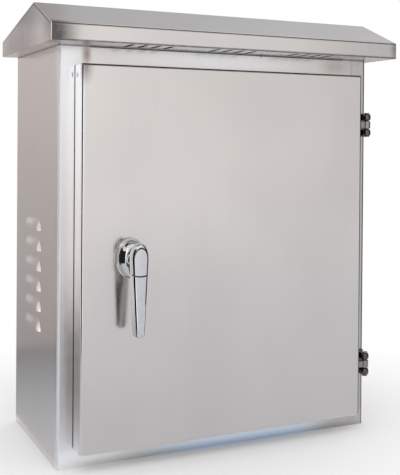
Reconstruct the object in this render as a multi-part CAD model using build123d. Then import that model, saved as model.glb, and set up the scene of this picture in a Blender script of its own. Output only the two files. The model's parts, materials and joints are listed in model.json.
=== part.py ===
from build123d import *
from math import atan, cos, degrees, radians, sin, tan
import os

# Outdoor electrical cabinet: a welded stainless sheet box with a vented gable hood, an overlay
# door on two pin hinges and a swing-handle lock. Lengths are in millimetres. Seen from the front,
# X runs to the right, Y to the back and Z up. The origin is the centre of the box's underside.

# Box
body_width = 400.0
body_depth = 200.0
body_height = 468.5
sheet = 1.2  # thickness of every folded sheet
bend_radius = 1.2  # inside radius of every fold
frame_return = 35.0  # width of the flanges round the door opening
frame_lip = 10.0  # lip turned back into the box at the opening's edge
back_flange = 18.0  # flange of the back sheet along each side sheet
cut_overrun = 6.0  # how far a cutting form runs past what it cuts
fold_relief = 0.6  # room left beside the inside of a fold

# Louvres in each side sheet
louvre_count = 6
louvre_length = 73.0
louvre_height = 13.5
louvre_reach = 4.2
louvre_pitch = 23.6
louvre_lip_height = 138.6  # lip of the lowest louvre above the underside
louvre_setback = 111.5  # middle of the louvres behind the front of the box

# Hood
hood_side_overhang = 19.5
hood_front_overhang = 41.0
hood_fascia = 19.0
ridge_rise = 30.0
ridge_setback = 76.0  # ridge behind the front of the hood
soffit_slot_length = 27.0
soffit_slot_width = 4.0
soffit_slot_setback = 18.0  # middle of the slots behind the front of the hood
slot_pitch = 15.5
slot_group_pitch = 104.0
slot_count = 4  # in each group
slot_group_count = 3
hood_vent_width = 260.0
hood_vent_depth = 110.0
hood_vent_corner = 12.0
top_vent_length = 70.0
top_vent_width = 5.0
roof_bolt_inset = 40.0  # bolts inside the box's outline
roof_bolt_radius = 3.0
roof_bolt_flats = 10.0
roof_bolt_head = 4.0
roof_nut_height = 5.0
bolt_clearance = 0.3  # between a bolt and the hole that it passes
thread_clearance = 0.05  # between a thread and its nut, as smooth bars

# Wall fixing
wall_hole_radius = 4.5
wall_hole_inset_x = 25.0  # hole from the side of the box
wall_hole_inset_z = 34.25  # hole from the top or underside of the box

# Mounting plate
plate_inset_x = 45.0  # plate from each side of the box
plate_inset_z = 49.25  # plate from the top and underside of the box
plate_sheet = 2.0
plate_corner = 8.0
plate_standoff = 22.0  # back of the plate in front of the back sheet
stud_inset = 15.0  # stud from the plate's edges
stud_shoulder_radius = 7.0
stud_radius = 4.0
stud_length = 12.0  # thread in front of the plate
plate_nut_flats = 13.0
plate_nut_height = 6.5

# Cable plate in the floor
gland_opening_width = 240.0
gland_opening_depth = 66.0
gland_back_clearance = 2.8  # between the plate and the back sheet
gland_opening_corner = 6.0
gland_margin = 13.0  # plate beyond the opening all round
gland_sheet = 1.5
gland_gasket_height = 2.0
gland_screw_radius = 2.5
gland_screw_head_radius = 4.6
gland_screw_head = 3.0
grommet_count = 3
grommet_pitch = 70.0
grommet_radius = 11.0
grommet_flange = 3.0  # how far the rim stands beyond the hole
grommet_lip = 2.2  # thickness of each rim
grommet_bore_radius = 8.0
grommet_clearance = 0.1

# Earth terminals
earth_radius = 3.0
earth_length = 18.0
earth_nut_flats = 10.0
earth_nut_height = 5.0
earth_lift = 6.0  # nut above the sheet, over the washer shoulder
earth_shoulder_radius = 6.5
earth_inset = 60.0  # box terminal from the left side and from the front
door_earth_inset = 40.0  # door terminal from the door's right and lower edges

# Door
door_margin_left = 18.0
door_margin_right = 23.0  # wider, for the hinges
door_margin_top = 21.8
door_margin_bottom = 20.8
door_proud = 28.0  # door's front face in front of the frame
door_gap = 2.0  # between the door's back edge and the frame
door_lip = 14.0  # lip turned in at the back of the pan
door_corner = 1.5  # rounding of the welded corners
gasket_inset = 1.0  # gasket inside the door's edge
gasket_width = 10.0
gasket_clearance = 0.3  # between the gasket and the frame

# Hinges
hinge_offset_side = 9.0  # pin inside the right side of the box
hinge_offset_front = 18.5  # pin in front of the frame
hinge_inset = 61.45  # middle of a hinge from the door's upper or lower edge
knuckle_radius = 5.0
knuckle_height = 9.4
knuckle_pitch = 9.7
knuckle_clearance = 0.3  # between neighbouring knuckles
knuckle_round = 3.4
middle_knuckle_radius = 4.6
middle_knuckle_round = 1.0
hinge_pin_radius = 2.4
hinge_pin_head_radius = 3.4
hinge_pin_head = 0.8
running_clearance = 0.08  # radial, between a turning piece and its pin
hinge_foot_width = 15.0
hinge_foot_thickness = 3.0
hinge_foot_round = 2.0
hinge_lug_width = 6.4
hinge_half_height = 30.0
hinge_leaf_thickness = 2.0
hinge_leaf_front = 2.0  # leaf's front edge in front of the pin
hinge_leaf_back = 14.0  # leaf's back edge behind the pin
hinge_arm_width = 5.2
hinge_screw_radius = 2.0
hinge_screw_spacing = 20.0
hinge_screw_setback = 6.0  # leaf screws behind the pin
hinge_screw_head_radius = 3.6
hinge_screw_head = 1.2
hinge_nut_flats = 7.0
hinge_nut_height = 3.2
hinge_stud_radius = 2.5
hinge_stud_length = 8.0
hinge_stud_nut_flats = 8.0
hinge_stud_nut_height = 4.0

# Lock base on the door
lock_inset = 55.0  # handle's pivot from the door's left edge
base_width = 33.0
base_height = 45.4
base_rim = 2.4
base_rise = 14.0  # dome above the seal
base_foot_shares = (0.93, 0.95)  # width and height of the dome where it leaves the rim
base_shoulder_shares = (0.86, 0.88)  # the same part of the way up
base_shoulder_rise_share = 0.55
base_top_shares = (0.60, 0.52)  # and at the dome's flat top
seal_thickness = 1.0
seal_inset = 0.4
barrel_radius = 10.0
barrel_length = 14.0  # threaded barrel behind the door's front face
lock_nut_flats = 27.0
lock_nut_height = 6.0

# Handle
lever_half_width = 9.4
lever_head_rise = 17.0
lever_head_centre = 2.5  # widest place above the pivot
lever_taper = 2.9  # degrees that each side leans in towards the tip
lever_reach = 82.5  # tip below the pivot
lever_back = 26.5  # back of the lever in front of the door
lever_front = 37.6  # crown of the lever in front of the door
crown_radius = 30.0
lever_edge_round = 3.6
hub_radius = 8.6
hub_clearance = 0.3  # between the turning hub and the base
head_face = 31.0  # face under the key cover, in front of the door
cover_gap = 0.5  # between the key cover and the lever
cover_pin_rise = 9.0  # cover's pin above the pivot
cover_pin_radius = 1.5
cover_pin_depth = 3.0  # how far the pin enters the cover
cover_seam_radius = 25.0  # seam between cover and lever, round the pin
plug_radius = 5.5
plug_depth = 8.6
keyway_width = 1.6
keyway_height = 7.0
keyway_depth = 4.0

# Spindle and cam
spindle_radius = 5.0
spindle_square = 8.0
cam_clearance = 0.6  # between the cam and the frame's lip
cam_thickness = 3.0
cam_width = 16.0
cam_reach = 48.0
cam_tip_width = 12.0
cam_washer_radius = 7.0
cam_washer_thickness = 1.0
cam_screw_radius = 2.5
cam_screw_length = 10.0
cam_screw_head_radius = 4.4
cam_screw_head = 3.0
press_clearance = 0.02  # radial, between pieces pressed together

# Places that several pieces share
body_half = body_width / 2
inner_half = body_half - sheet
frame_front = -body_depth / 2
frame_back = frame_front + sheet
body_back = body_depth / 2
back_inside = body_back - sheet
opening_half = body_half - frame_return
opening_top = body_height - frame_return
opening_height = opening_top - frame_return
lip_back = frame_front + frame_lip

hood_half = body_half + hood_side_overhang
hood_front = frame_front - hood_front_overhang
eaves = body_height + hood_fascia
ridge = eaves + ridge_rise
hood_outline = [
    (body_back, body_height),
    (body_back, eaves),
    (hood_front + ridge_setback, ridge),
    (hood_front, eaves),
    (hood_front, body_height),
]

door_left = door_margin_left - body_half
door_right = body_half - door_margin_right
door_front = frame_front - door_proud
door_inside = door_front + sheet
door_back = frame_front - door_gap
door_low = door_margin_bottom
door_high = body_height - door_margin_top
door_middle = (door_low + door_high) / 2

hinge_x = body_half - hinge_offset_side
hinge_y = frame_front - hinge_offset_front
hinge_heights = {
    "upper": door_high - hinge_inset,
    "lower": door_low + hinge_inset,
}
knuckle_end = knuckle_pitch + knuckle_height / 2

gland_bottom = sheet + gland_gasket_height
gland_top = gland_bottom + gland_sheet
gland_width = gland_opening_width + gland_margin * 2
gland_depth = gland_opening_depth + gland_margin * 2
gland_middle = back_inside - gland_back_clearance - gland_depth / 2
gland_screw_spacing_x = gland_opening_width + gland_margin
gland_screw_spacing_y = gland_opening_depth + gland_margin

roof_bolt_spacing_x = body_width - roof_bolt_inset * 2
roof_bolt_spacing_y = body_depth - roof_bolt_inset * 2
wall_hole_spacing_x = body_width - wall_hole_inset_x * 2
wall_hole_spacing_z = body_height - wall_hole_inset_z * 2

plate_width = body_width - plate_inset_x * 2
plate_height = body_height - plate_inset_z * 2
stud_spacing_x = plate_width - stud_inset * 2
stud_spacing_z = plate_height - stud_inset * 2
plate_back = back_inside - plate_standoff
plate_front = plate_back - plate_sheet

# The lock is drawn on a plane at the door's front face: local X to the right, local Y up and
# local Z out of the door. The cam lies at negative local Z, behind the frame's lip.
lock_plane = Plane(
    origin=(door_left + lock_inset, door_front, door_middle), x_dir=(1, 0, 0), z_dir=(0, -1, 0)
)
base_top = seal_thickness + base_rise
hub_back = base_top + hub_clearance
plug_back = head_face - plug_depth
spindle_front = plug_back - press_clearance
cam_front = -(lip_back - door_front) - cam_clearance
cam_back = cam_front - cam_thickness
screw_seat = cam_back - cam_washer_thickness


def box_between(low, high):
    """Box from its lowest corner to its highest corner."""
    size = [end - start for start, end in zip(low, high)]
    return Pos(*low) * Box(*size, align=(Align.MIN, Align.MIN, Align.MIN))


def rod(radius, start, end):
    """Round bar between two points."""
    length = Vector(*end) - Vector(*start)
    return extrude(Plane(origin=start, z_dir=length) * Circle(radius), amount=length.length)


def hex_bar(across_flats, start, end):
    """Six-sided bar between two points."""
    length = Vector(*end) - Vector(*start)
    face = RegularPolygon(across_flats / 2, side_count=6, major_radius=False)
    return extrude(Plane(origin=start, z_dir=length) * face, amount=length.length)


def hex_nut(across_flats, thread_radius, start, end):
    """Six-sided nut with a plain bore, between two points on its axis."""
    bore = rod(thread_radius + thread_clearance, start, end)
    return hex_bar(across_flats, start, end) - bore


def corners(spacing_x, spacing_y):
    """The four corners of a rectangle round zero."""
    return [(x, y) for x in (-spacing_x / 2, spacing_x / 2) for y in (-spacing_y / 2, spacing_y / 2)]


def pattern(count, pitch):
    """Even places round zero."""
    return [(index - (count - 1) / 2) * pitch for index in range(count)]


def inset_line(points, distance):
    """Mitred copy of an open line of straight runs, moved to its left."""
    spots = [Vector(*point) for point in points]
    runs = [(end - start).normalized() for start, end in zip(spots, spots[1:])]
    normals = [Vector(-run.Y, run.X) for run in runs]
    moved = [spots[0] + normals[0] * distance]
    for spot, before, after in zip(spots[1:], normals, normals[1:]):
        moved.append(spot + (before + after) * (distance / (1 + before.dot(after))))
    moved.append(spots[-1] + normals[-1] * distance)
    return [(spot.X, spot.Y) for spot in moved]


def folded_section(points):
    """Section of a sheet folded along its outer line, with the sheet to the line's left."""
    inner_points = inset_line(points, sheet)
    outer = FilletPolyline(*points, radius=bend_radius + sheet)
    inner = FilletPolyline(*inner_points, radius=bend_radius)
    ends = [Line(points[0], inner_points[0]), Line(points[-1], inner_points[-1])]
    return make_face([outer, inner, *ends])


def louvre_form(length, height, reach):
    """Pressed louvre as a solid: bowed section, flat below, rounded at both ends."""
    arc = TangentArc((reach, 0), (0, height), tangent=(0, 1))
    section = make_face([Line((0, 0), (reach, 0)), arc, Line((0, height), (0, 0))])
    half_run = length / 2 - height
    upright = Plane.XZ * section
    form = extrude(upright, amount=half_run, both=True)
    for side in (-1, 1):
        turn_axis = Axis((0, side * half_run, 0), (1, 0, 0))
        form += revolve(Pos(0, side * half_run, 0) * upright, turn_axis, revolution_arc=-90 * side)
    return form


def louvre_mouth(length, height):
    """Cut through the sheet behind a louvre."""
    slot = SlotOverall(length, height * 2) & Pos(0, height) * Rectangle(length, height * 2)
    depth = sheet + cut_overrun
    return Pos(-depth, 0, 0) * extrude(Plane.YZ * slot, amount=depth)


def side_sheet():
    """Side sheet, as the right one: front return with a lip along the opening, and the louvres."""
    outline = [(opening_half, frame_front), (body_half, frame_front), (body_half, body_back)]
    plain = folded_section(outline)
    lipped = folded_section([(opening_half, lip_back)] + outline)
    panel = extrude(plain, amount=frame_return)
    panel += Pos(0, 0, frame_return) * extrude(lipped, amount=opening_height)
    panel += Pos(0, 0, opening_top) * extrude(plain, amount=frame_return)
    hood = louvre_form(louvre_length, louvre_height, louvre_reach)
    hollow_length = louvre_length - sheet * 4
    hollow_height = louvre_height - sheet * 2
    hollow = louvre_form(hollow_length, hollow_height, louvre_reach - sheet)
    hollow += louvre_mouth(hollow_length, hollow_height)
    for index in range(louvre_count):
        lip = louvre_lip_height + index * louvre_pitch
        place = Pos(body_half, frame_front + louvre_setback, lip)
        panel = panel + place * hood - place * hollow
    return panel


def left_side():
    """Left side sheet."""
    return mirror(side_sheet(), about=Plane.YZ)


def right_side():
    """Right side sheet, with the holes for the hinges' studs."""
    panel = side_sheet()
    for level in hinge_heights:
        panel -= [hinge_place(level) * hole for hole in hinge_stud_holes()]
    return panel


def hinge_stud_holes():
    """Two holes in the return for a hinge's studs, round the hinge's middle."""
    front = hinge_offset_front - cut_overrun
    back = hinge_offset_front + sheet + cut_overrun
    radius = hinge_stud_radius + bolt_clearance
    return [
        rod(radius, (0, front, offset), (0, back, offset))
        for offset in (-hinge_screw_spacing / 2, hinge_screw_spacing / 2)
    ]


def end_tray():
    """Top sheet before its holes: flat, with a flange and lip over the door opening."""
    outline = [
        (body_back, body_height),
        (frame_front, body_height),
        (frame_front, opening_top),
        (lip_back, opening_top),
    ]
    tray = extrude(Plane.YZ * folded_section(outline), amount=opening_half, both=True)
    flat = box_between(
        (-inner_half, frame_back, body_height - sheet), (inner_half, body_back, body_height)
    )
    front_corners = flat.edges().filter_by(Axis.Z).group_by(Axis.Y)[0]
    return tray + fillet(front_corners, radius=bend_radius + fold_relief)


def slot_row(length, width, low, high):
    """Groups of upright cuts that run front to back, across the cabinet."""
    cut = extrude(Plane.XY * Rot(0, 0, 90) * SlotOverall(length, width), amount=high - low)
    places = [
        group + slot
        for group in pattern(slot_group_count, slot_group_pitch)
        for slot in pattern(slot_count, slot_pitch)
    ]
    return [Pos(place, 0, low) * cut for place in places]


def roof_bolt_holes():
    """Holes for the hood's bolts through the top sheet and the soffit."""
    low = body_height - sheet - cut_overrun
    high = body_height + sheet + cut_overrun
    radius = roof_bolt_radius + bolt_clearance
    return [
        rod(radius, (x, y, low), (x, y, high))
        for x, y in corners(roof_bolt_spacing_x, roof_bolt_spacing_y)
    ]


def top_panel():
    """Top sheet with vents into the hood and the bolt holes."""
    low = body_height - sheet - cut_overrun
    vents = slot_row(top_vent_length, top_vent_width, low, body_height + cut_overrun)
    return end_tray() - vents - roof_bolt_holes()


def gland_rectangle(width, depth, low, high):
    """Upright block with rounded corners over the cable opening."""
    face = RectangleRounded(width, depth, gland_opening_corner)
    return Pos(0, gland_middle, low) * extrude(face, amount=high - low)


def gland_screw_places():
    """Corners and long-edge middles of the cable plate."""
    places = corners(gland_screw_spacing_x, gland_screw_spacing_y)
    edges = [(0, -gland_screw_spacing_y / 2), (0, gland_screw_spacing_y / 2)]
    return [(x, gland_middle + y) for x, y in places + edges]


def gland_screw_holes(radius):
    """Holes for the cable plate's screws."""
    low = -cut_overrun
    high = gland_top + cut_overrun
    return [rod(radius, (x, y, low), (x, y, high)) for x, y in gland_screw_places()]


def bottom_panel():
    """Floor sheet with the cable opening."""
    tray = mirror(end_tray(), about=Plane.XY.offset(body_height / 2))
    opening = gland_rectangle(gland_opening_width, gland_opening_depth, -cut_overrun, cut_overrun)
    return tray - opening - gland_screw_holes(gland_screw_radius + thread_clearance)


def back_panel():
    """Back sheet between the end trays, with side flanges and wall holes."""
    flange_front = body_back - back_flange
    outline = [
        (inner_half, flange_front),
        (inner_half, body_back),
        (-inner_half, body_back),
        (-inner_half, flange_front),
    ]
    panel = Pos(0, 0, sheet) * extrude(folded_section(outline), amount=body_height - sheet * 2)
    for x, z in corners(wall_hole_spacing_x, wall_hole_spacing_z):
        start = (x, back_inside - cut_overrun, body_height / 2 + z)
        end = (x, body_back + cut_overrun, body_height / 2 + z)
        panel -= rod(wall_hole_radius, start, end)
    return panel


def roof_sheet():
    """Hood skin: front fascia, two slopes and rear fascia, folded from one sheet."""
    return extrude(Plane.YZ * folded_section(hood_outline), amount=hood_half, both=True)


def roof_end(side):
    """Gable plate that closes the hood at one end, flush with the skin's edge."""
    points = inset_line(hood_outline, sheet)
    arch = FilletPolyline(*points, radius=bend_radius + fold_relief)
    face = make_face([arch, Line(points[-1], points[0])])
    inner_edge = (hood_half - sheet) * side
    return Pos(inner_edge, 0, 0) * extrude(Plane.YZ * face, amount=sheet * side)


def roof_floor():
    """Soffit plate of the hood: vent slots in the front overhang and an opening over the box."""
    half = hood_half - sheet
    low = (-half, hood_front + sheet, body_height)
    high = (half, back_inside, body_height + sheet)
    plate = box_between(low, high)
    cut_low = body_height - cut_overrun
    cut_high = body_height + cut_overrun
    slots = slot_row(soffit_slot_length, soffit_slot_width, cut_low, cut_high)
    front_slots = [Pos(0, hood_front + soffit_slot_setback, 0) * slot for slot in slots]
    opening = RectangleRounded(hood_vent_width, hood_vent_depth, hood_vent_corner)
    vent = Pos(0, 0, cut_low) * extrude(opening, amount=cut_high - cut_low)
    return plate - front_slots - vent - roof_bolt_holes()


def roof_bolts():
    """Four bolts put in from inside the box."""
    seat = body_height - sheet
    end = body_height + sheet + roof_nut_height
    return [
        hex_bar(roof_bolt_flats, (x, y, seat - roof_bolt_head), (x, y, seat))
        + rod(roof_bolt_radius, (x, y, seat), (x, y, end))
        for x, y in corners(roof_bolt_spacing_x, roof_bolt_spacing_y)
    ]


def roof_nuts():
    """Nuts of the hood's bolts, on top of the soffit."""
    low = body_height + sheet
    return [
        hex_nut(roof_bolt_flats, roof_bolt_radius, (x, y, low), (x, y, low + roof_nut_height))
        for x, y in corners(roof_bolt_spacing_x, roof_bolt_spacing_y)
    ]


def gland_gasket():
    """Rubber frame under the cable plate."""
    outer = gland_rectangle(gland_width, gland_depth, sheet, gland_bottom)
    inner = gland_rectangle(gland_opening_width, gland_opening_depth, sheet, gland_bottom)
    return outer - inner - gland_screw_holes(gland_screw_radius + bolt_clearance)


def gland_plate():
    """Removable plate with the holes for the grommets."""
    plate = gland_rectangle(gland_width, gland_depth, gland_bottom, gland_top)
    low = gland_bottom - cut_overrun
    high = gland_top + cut_overrun
    for x in pattern(grommet_count, grommet_pitch):
        plate -= rod(grommet_radius, (x, gland_middle, low), (x, gland_middle, high))
    return plate - gland_screw_holes(gland_screw_radius + bolt_clearance)


def gland_screws():
    """Round-headed screws of the cable plate."""
    screws = []
    for x, y in gland_screw_places():
        top = gland_top + gland_screw_head
        head = rod(gland_screw_head_radius, (x, y, gland_top), (x, y, top))
        rim = head.edges().group_by(Axis.Z)[-1]
        head = fillet(rim, radius=gland_screw_head / 2)
        screws.append(head + rod(gland_screw_radius, (x, y, 0), (x, y, gland_top)))
    return screws


def cable_grommet(place):
    """Rubber ring in the cable plate, grooved round the plate's edge."""
    rim = grommet_radius + grommet_flange
    neck = grommet_radius - grommet_clearance
    low = gland_bottom - grommet_lip
    high = gland_top + grommet_lip
    lower_rim = rod(rim, (0, 0, low), (0, 0, gland_bottom))
    upper_rim = rod(rim, (0, 0, gland_top), (0, 0, high))
    ring = lower_rim + rod(neck, (0, 0, low), (0, 0, high)) + upper_rim
    outer_edges = ring.edges().filter_by(GeomType.CIRCLE).group_by(Axis.Z)
    ring = fillet(outer_edges[0] + outer_edges[-1], radius=grommet_lip / 2)
    ring -= rod(grommet_bore_radius, (0, 0, low - cut_overrun), (0, 0, high + cut_overrun))
    return Pos(place, gland_middle, 0) * ring


def mounting_places():
    """Places of the mounting plate's studs, seen from the front."""
    return [(x, body_height / 2 + z) for x, z in corners(stud_spacing_x, stud_spacing_z)]


def mounting_plate():
    """Equipment plate in front of the back sheet."""
    face = RectangleRounded(plate_width, plate_height, plate_corner)
    plate = Pos(0, plate_back, body_height / 2) * extrude(Plane.XZ * face, amount=plate_sheet)
    radius = stud_radius + bolt_clearance
    for x, z in mounting_places():
        start = (x, plate_front - cut_overrun, z)
        plate -= rod(radius, start, (x, plate_back + cut_overrun, z))
    return plate


def mounting_studs():
    """Stepped studs on the back sheet that carry the plate."""
    return [
        rod(stud_shoulder_radius, (x, back_inside, z), (x, plate_back, z))
        + rod(stud_radius, (x, plate_back, z), (x, plate_front - stud_length, z))
        for x, z in mounting_places()
    ]


def mounting_nuts():
    """Nuts in front of the mounting plate."""
    front = plate_front - plate_nut_height
    return [
        hex_nut(plate_nut_flats, stud_radius, (x, plate_front, z), (x, front, z))
        for x, z in mounting_places()
    ]


def terminal(plane):
    """Earth stud with a washer shoulder, standing on a plane."""
    shoulder = rod(earth_shoulder_radius, (0, 0, 0), (0, 0, earth_lift))
    return plane * (shoulder + rod(earth_radius, (0, 0, earth_lift), (0, 0, earth_length)))


def terminal_nut(plane):
    """Nut on an earth stud, seated on its shoulder."""
    high = earth_lift + earth_nut_height
    return plane * hex_nut(earth_nut_flats, earth_radius, (0, 0, earth_lift), (0, 0, high))


def door_block(inset, front, back):
    """Block with the door's outline, inset all round."""
    low = (door_left + inset, front, door_low + inset)
    return box_between(low, (door_right - inset, back, door_high - inset))


def door_panel():
    """Door pan: front sheet, four flanges and inner lips, with its holes."""
    outside = door_block(0, door_front, door_back)
    outside = fillet(outside.edges().filter_by(Axis.Y), radius=door_corner)
    outside = fillet(outside.edges().group_by(Axis.Y)[0], radius=bend_radius + sheet)
    hollow = door_block(sheet, door_inside, door_back - sheet)
    hollow = fillet(hollow.edges().group_by(Axis.Y)[0], radius=bend_radius)
    mouth = door_block(door_lip, door_inside + cut_overrun, door_back + cut_overrun)
    pan = outside - hollow - mouth
    barrel_hole = rod(barrel_radius + bolt_clearance, (0, 0, -cut_overrun), (0, 0, cut_overrun))
    pan -= lock_plane * barrel_hole
    for y, z in hinge_screw_places():
        start = (door_right - sheet - cut_overrun, y, z)
        pan -= rod(hinge_screw_radius + bolt_clearance, start, (door_right + cut_overrun, y, z))
    return pan


def door_gasket():
    """Rubber ring on the back of the pan, just clear of the frame."""
    back = frame_front - gasket_clearance
    outer = door_block(gasket_inset, door_back, back)
    cut = door_block(gasket_inset + gasket_width, door_back - cut_overrun, back + cut_overrun)
    return outer - cut


def hinge_screw_places():
    """Places of the door halves' screws on the door's right flange."""
    return [
        (hinge_y + hinge_screw_setback, height + offset)
        for height in hinge_heights.values()
        for offset in (-hinge_screw_spacing / 2, hinge_screw_spacing / 2)
    ]


def hinge_place(level):
    """Middle of one hinge, on its pin."""
    return Pos(hinge_x, hinge_y, hinge_heights[level])


def barrel_bead(radius, height, rounding):
    """Round knuckle with softened ends, about zero."""
    bead = Cylinder(radius, height)
    return fillet(bead.edges().filter_by(GeomType.CIRCLE), radius=rounding)


def hinge_frame_half(level):
    """Fixed half of a hinge: foot with two studs and two bead knuckles on lugs."""
    foot_front = hinge_offset_front - hinge_foot_thickness
    half_width = hinge_foot_width / 2
    half_height = hinge_half_height / 2
    foot = box_between(
        (-half_width, foot_front, -half_height), (half_width, hinge_offset_front, half_height)
    )
    foot = fillet(foot.edges().filter_by(Axis.Y), radius=hinge_foot_round)
    half = foot
    half_lug = hinge_lug_width / 2
    for side in (-1, 1):
        low = side * knuckle_pitch - knuckle_height / 2 + hinge_pin_head
        high = side * knuckle_pitch + knuckle_height / 2 - hinge_pin_head
        half += box_between((-half_lug, 0, low), (half_lug, foot_front, high))
        bead = barrel_bead(knuckle_radius, knuckle_height, knuckle_round)
        half += Pos(0, 0, side * knuckle_pitch) * bead
        stud_height = side * hinge_screw_spacing / 2
        start = (0, hinge_offset_front, stud_height)
        half += rod(hinge_stud_radius, start, (0, hinge_offset_front + hinge_stud_length, stud_height))
    bore = rod(hinge_pin_radius + press_clearance, (0, 0, -half_height), (0, 0, half_height))
    return hinge_place(level) * (half - bore)


def hinge_door_half(level):
    """Moving half of a hinge: leaf on the door's flange and the middle knuckle."""
    flange = door_right - hinge_x
    half_height = hinge_half_height / 2
    leaf = box_between(
        (flange, -hinge_leaf_front, -half_height),
        (flange + hinge_leaf_thickness, hinge_leaf_back, half_height),
    )
    leaf = fillet(leaf.edges().filter_by(Axis.X), radius=hinge_foot_round)
    room = (knuckle_pitch * 2 - knuckle_height) / 2 - knuckle_clearance
    knuckle = barrel_bead(middle_knuckle_radius, room * 2, middle_knuckle_round)
    arm_half = hinge_arm_width / 2
    arm_room = room - middle_knuckle_round
    arm = box_between((flange, -hinge_leaf_front, -arm_room), (0, arm_half, arm_room))
    half = leaf + arm + knuckle
    half -= rod(hinge_pin_radius + running_clearance, (0, 0, -half_height), (0, 0, half_height))
    for offset in (-hinge_screw_spacing / 2, hinge_screw_spacing / 2):
        start = (flange - cut_overrun, hinge_screw_setback, offset)
        end = (flange + cut_overrun, hinge_screw_setback, offset)
        half -= rod(hinge_screw_radius + bolt_clearance, start, end)
    return hinge_place(level) * half


def hinge_pin(level):
    """Pin through the three knuckles, with a flat head at each end."""
    head_end = knuckle_end + hinge_pin_head
    pin = rod(hinge_pin_radius, (0, 0, -head_end), (0, 0, head_end))
    for side in (-1, 1):
        start = (0, 0, side * knuckle_end)
        pin += rod(hinge_pin_head_radius, start, (0, 0, side * head_end))
    return hinge_place(level) * pin


def hinge_frame_nuts():
    """Nuts on the studs of both frame halves, inside the return."""
    nuts = []
    for height in hinge_heights.values():
        for offset in (-hinge_screw_spacing / 2, hinge_screw_spacing / 2):
            start = (hinge_x, frame_back, height + offset)
            end = (hinge_x, frame_back + hinge_stud_nut_height, height + offset)
            nuts.append(hex_nut(hinge_stud_nut_flats, hinge_stud_radius, start, end))
    return nuts


def hinge_door_screws():
    """Low-headed screws through the door halves and the door's flange."""
    seat = door_right + hinge_leaf_thickness
    end = door_right - sheet - hinge_nut_height
    screws = []
    for y, z in hinge_screw_places():
        head = rod(hinge_screw_head_radius, (seat, y, z), (seat + hinge_screw_head, y, z))
        rim = head.edges().group_by(Axis.X)[-1]
        head = fillet(rim, radius=hinge_screw_head / 2)
        screws.append(head + rod(hinge_screw_radius, (seat, y, z), (end, y, z)))
    return screws


def hinge_door_nuts():
    """Nuts of the door halves' screws, inside the pan."""
    start = door_right - sheet
    return [
        hex_nut(hinge_nut_flats, hinge_screw_radius, (start, y, z), (start - hinge_nut_height, y, z))
        for y, z in hinge_screw_places()
    ]


def lock_seal():
    """Rubber seal between the lock base and the door."""
    outline = Ellipse(base_width / 2 - seal_inset, base_height / 2 - seal_inset)
    seal = extrude(outline, amount=seal_thickness)
    seal -= rod(barrel_radius + bolt_clearance, (0, 0, 0), (0, 0, seal_thickness))
    return lock_plane * seal


def lock_base():
    """Oval domed base with its threaded barrel, bored for the spindle."""
    rim_top = seal_thickness + base_rim
    base = extrude(Pos(0, 0, seal_thickness) * Ellipse(base_width / 2, base_height / 2), amount=base_rim)
    base = fillet(base.edges().group_by(Axis.Z)[-1], radius=base_rim / 2)
    shoulder = rim_top + (base_top - rim_top) * base_shoulder_rise_share
    heights = (rim_top - base_rim / 2, shoulder, base_top)
    shares = (base_foot_shares, base_shoulder_shares, base_top_shares)
    ovals = [
        Pos(0, 0, height) * Ellipse(base_width / 2 * wide, base_height / 2 * tall)
        for height, (wide, tall) in zip(heights, shares)
    ]
    base += loft(ovals)
    base += rod(barrel_radius, (0, 0, -barrel_length), (0, 0, seal_thickness + base_rim / 2))
    bore_end = -barrel_length - cut_overrun
    base -= rod(spindle_radius + running_clearance, (0, 0, bore_end), (0, 0, base_top + cut_overrun))
    return lock_plane * base


def lock_nut():
    """Large nut that clamps the lock to the door from inside."""
    start = (0, 0, -sheet)
    return lock_plane * hex_nut(lock_nut_flats, barrel_radius, start, (0, 0, -sheet - lock_nut_height))


def lever_outline():
    """Outline of the lever: elliptical head, leaning sides and round tip, all tangent."""
    lean = radians(lever_taper)
    start = -atan(tan(lean) * lever_head_rise / lever_half_width)
    side_x = lever_half_width * cos(start)
    side_y = lever_head_centre + lever_head_rise * sin(start)
    tip_radius = (side_x * cos(lean) - (side_y + lever_reach) * sin(lean)) / (1 - sin(lean))
    tip_x = tip_radius * cos(lean)
    tip_y = tip_radius - lever_reach - tip_radius * sin(lean)
    head = EllipticalCenterArc(
        (0, lever_head_centre),
        lever_half_width,
        lever_head_rise,
        start_angle=degrees(start),
        arc_size=180 - degrees(start) * 2,
    )
    left = Line((-side_x, side_y), (-tip_x, tip_y))
    tip = ThreePointArc((-tip_x, tip_y), (0, -lever_reach), (tip_x, tip_y))
    right = Line((tip_x, tip_y), (side_x, side_y))
    return make_face([head, left, tip, right])


def lever_bar():
    """Whole lever before its key cover is parted, with a crowned front."""
    bar = Pos(0, 0, lever_back) * extrude(lever_outline(), amount=lever_front - lever_back)
    crown_centre = lever_front - crown_radius
    start = (0, -lever_reach - cut_overrun, crown_centre)
    end = (0, lever_head_centre + lever_head_rise + cut_overrun, crown_centre)
    bar &= rod(crown_radius, start, end)
    front_rim = bar.edges().filter_by(lambda edge: edge.center().Z > head_face)
    return fillet(front_rim, radius=lever_edge_round)


def seam_form(radius, face):
    """Everything in front of a face, within a radius of the key cover's pin."""
    start = (0, cover_pin_rise, face)
    return rod(radius, start, (0, cover_pin_rise, lever_front + cut_overrun))


def handle_lever():
    """Lever with its hub, the seat of the key cover and the bore of the key plug."""
    lever = lever_bar() - seam_form(cover_seam_radius, head_face)
    lever += rod(hub_radius, (0, 0, hub_back), (0, 0, lever_back))
    spindle_end = (0, 0, hub_back - cut_overrun)
    lever -= rod(spindle_radius + press_clearance, spindle_end, (0, 0, plug_back))
    lever -= rod(plug_radius + running_clearance, (0, 0, plug_back), (0, 0, head_face + cut_overrun))
    pin_start = (0, cover_pin_rise, lever_back - cut_overrun)
    pin_end = (0, cover_pin_rise, head_face + cut_overrun)
    return lock_plane * (lever - rod(cover_pin_radius + press_clearance, pin_start, pin_end))


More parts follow.
